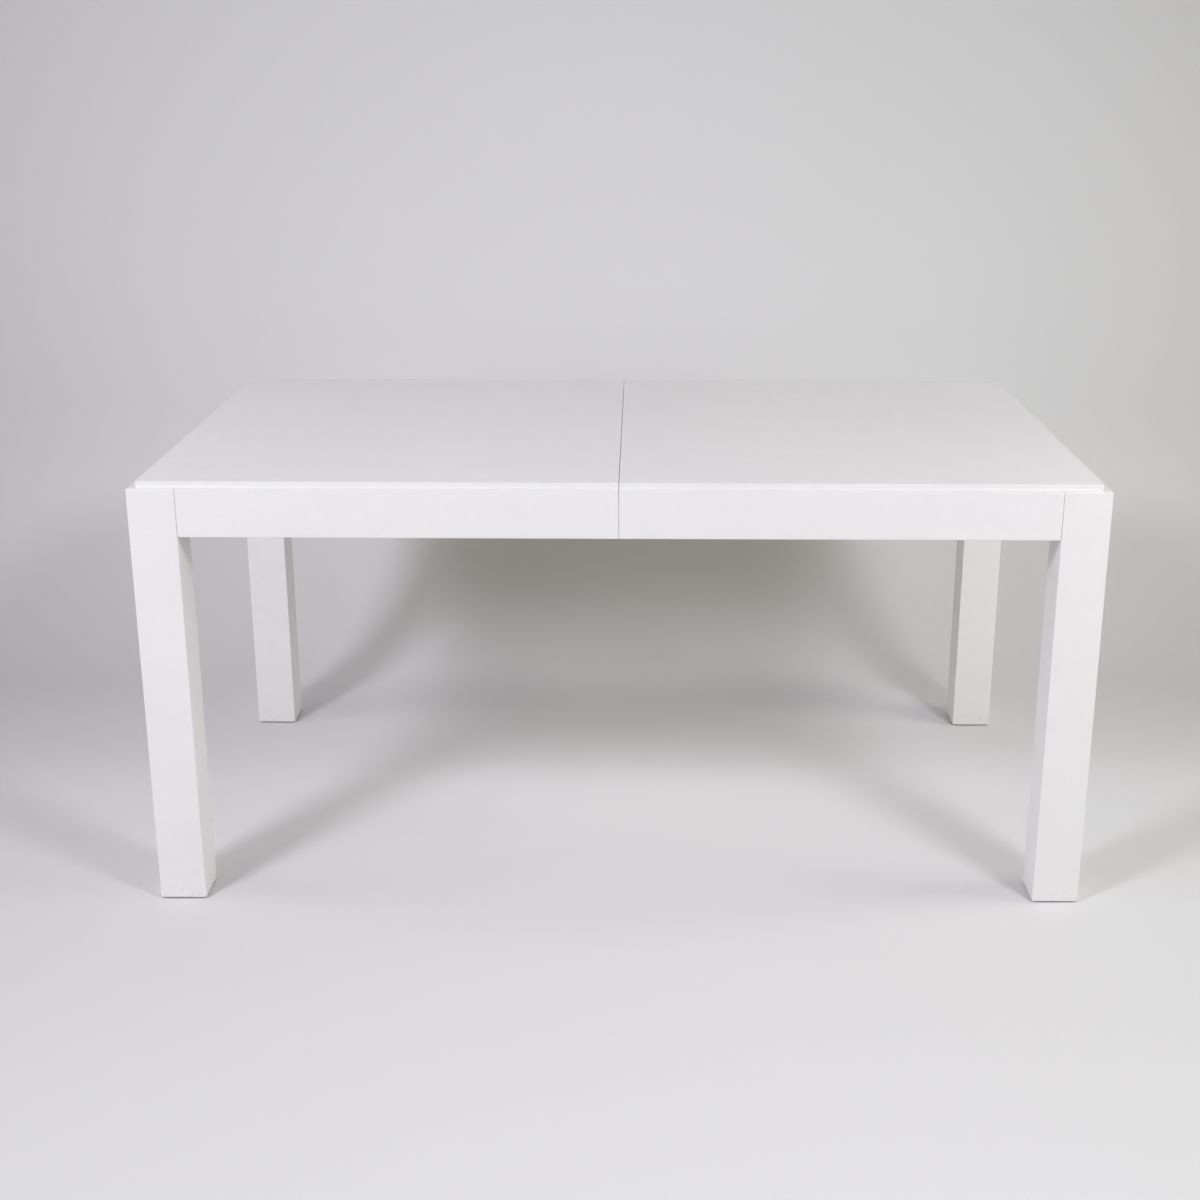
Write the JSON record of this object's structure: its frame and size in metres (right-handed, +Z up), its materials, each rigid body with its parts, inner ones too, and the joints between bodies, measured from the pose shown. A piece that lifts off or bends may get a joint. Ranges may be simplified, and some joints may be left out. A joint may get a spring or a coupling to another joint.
{
  "type": "extension dining table",
  "caption": "White parsons dining table with square corner legs; its top and long aprons are split at mid-length, and the halves pull apart on geared wooden slides to take a leaf.",
  "frame": {"origin": "on the floor, under the middle of the closed table", "axes": "+X along the length towards the half that slides, +Y from front to rear, +Z up"},
  "size_m": [1.626, 0.914, 0.762],
  "materials": {
    "white_lacquer": "satin white lacquer",
    "hardwood": "planed beech, bare",
    "zinc_steel": "zinc plated",
    "brass": "turned",
    "gear_nylon": "black nylon",
    "glide_nylon": "brown nylon"
  },
  "bodies": {
    "left_half": {"front_left_apron": "white_lacquer", "front_left_leg": "white_lacquer", "front_left_rack": "gear_nylon", "front_left_rail": "hardwood", "left_bearer_screws": "zinc_steel", "left_bracket_screws": "zinc_steel", "left_corner_brackets": "zinc_steel", "left_end_apron": "white_lacquer", "left_glide_nails": "zinc_steel", "left_glides": "glide_nylon", "left_glue_blocks": "hardwood", "left_hanger_bolts": "zinc_steel", "left_leg_nuts": "zinc_steel", "left_leg_washers": "zinc_steel", "left_middle_bearer": "hardwood", "left_rack_screws": "zinc_steel", "left_rail_screws": "zinc_steel", "left_split_bearer": "hardwood", "left_top": "white_lacquer", "rear_left_apron": "white_lacquer", "rear_left_leg": "white_lacquer", "rear_left_rack": "gear_nylon", "rear_left_rail": "hardwood", "alignment_pins": "brass", "lock_bases": "zinc_steel", "lock_rivets": "zinc_steel", "lock_base_screws": "zinc_steel"},
    "right_half": {"front_right_apron": "white_lacquer", "front_right_leg": "white_lacquer", "front_right_rack": "gear_nylon", "front_right_rail": "hardwood", "rear_right_apron": "white_lacquer", "rear_right_leg": "white_lacquer", "rear_right_rack": "gear_nylon", "rear_right_rail": "hardwood", "right_bearer_screws": "zinc_steel", "right_bracket_screws": "zinc_steel", "right_corner_brackets": "zinc_steel", "right_end_apron": "white_lacquer", "right_glide_nails": "zinc_steel", "right_glides": "glide_nylon", "right_glue_blocks": "hardwood", "right_hanger_bolts": "zinc_steel", "right_leg_nuts": "zinc_steel", "right_leg_washers": "zinc_steel", "right_middle_bearer": "hardwood", "right_rack_screws": "zinc_steel", "right_rail_screws": "zinc_steel", "right_split_bearer": "hardwood", "right_top": "white_lacquer", "lock_keepers": "zinc_steel", "lock_keeper_screws": "zinc_steel"},
    "front_slide": {"front_center_rail": "hardwood", "front_pinion_axle": "zinc_steel"},
    "front_gear": {"front_pinion": "gear_nylon"},
    "front_lock": {"front_lock_lever": "zinc_steel"},
    "rear_slide": {"rear_center_rail": "hardwood", "rear_pinion_axle": "zinc_steel"},
    "rear_gear": {"rear_pinion": "gear_nylon"},
    "rear_lock": {"rear_lock_lever": "zinc_steel"}
  },
  "joints": [
    {"name": "right_half_slide", "type": "slide", "parent": "left_half", "child": "right_half", "axis": [1, 0, 0], "range_m": [0, 0.457]},
    {"name": "front_slide_run", "type": "slide", "parent": "left_half", "child": "front_slide", "axis": [1, 0, 0], "range_m": [0, 0.2285]},
    {"name": "rear_slide_run", "type": "slide", "parent": "left_half", "child": "rear_slide", "axis": [1, 0, 0], "range_m": [0, 0.2285]},
    {"name": "front_pinion_turn", "type": "hinge", "parent": "front_slide", "child": "front_gear", "pos_m": [0, -0.21, 0.68], "axis": [0, 0, 1], "range_deg": [-820, 0]},
    {"name": "rear_pinion_turn", "type": "hinge", "parent": "rear_slide", "child": "rear_gear", "pos_m": [0, 0.21, 0.68], "axis": [0, 0, 1], "range_deg": [0, 820]},
    {"name": "front_lock_turn", "type": "hinge", "parent": "left_half", "child": "front_lock", "pos_m": [-0.0204, -0.33, 0.717], "axis": [0, 0, 1], "range_deg": [0, 110]},
    {"name": "rear_lock_turn", "type": "hinge", "parent": "left_half", "child": "rear_lock", "pos_m": [-0.0204, 0.33, 0.717], "axis": [0, 0, 1], "range_deg": [0, 110]}
  ],
  "couplings": [
    {"joint": "front_slide_run", "follows": "right_half_slide", "ratio": 0.5},
    {"joint": "rear_slide_run", "follows": "right_half_slide", "ratio": 0.5},
    {"joint": "front_pinion_turn", "follows": "right_half_slide", "rad_per_m": -31.25},
    {"joint": "rear_pinion_turn", "follows": "right_half_slide", "rad_per_m": 31.25}
  ]
}
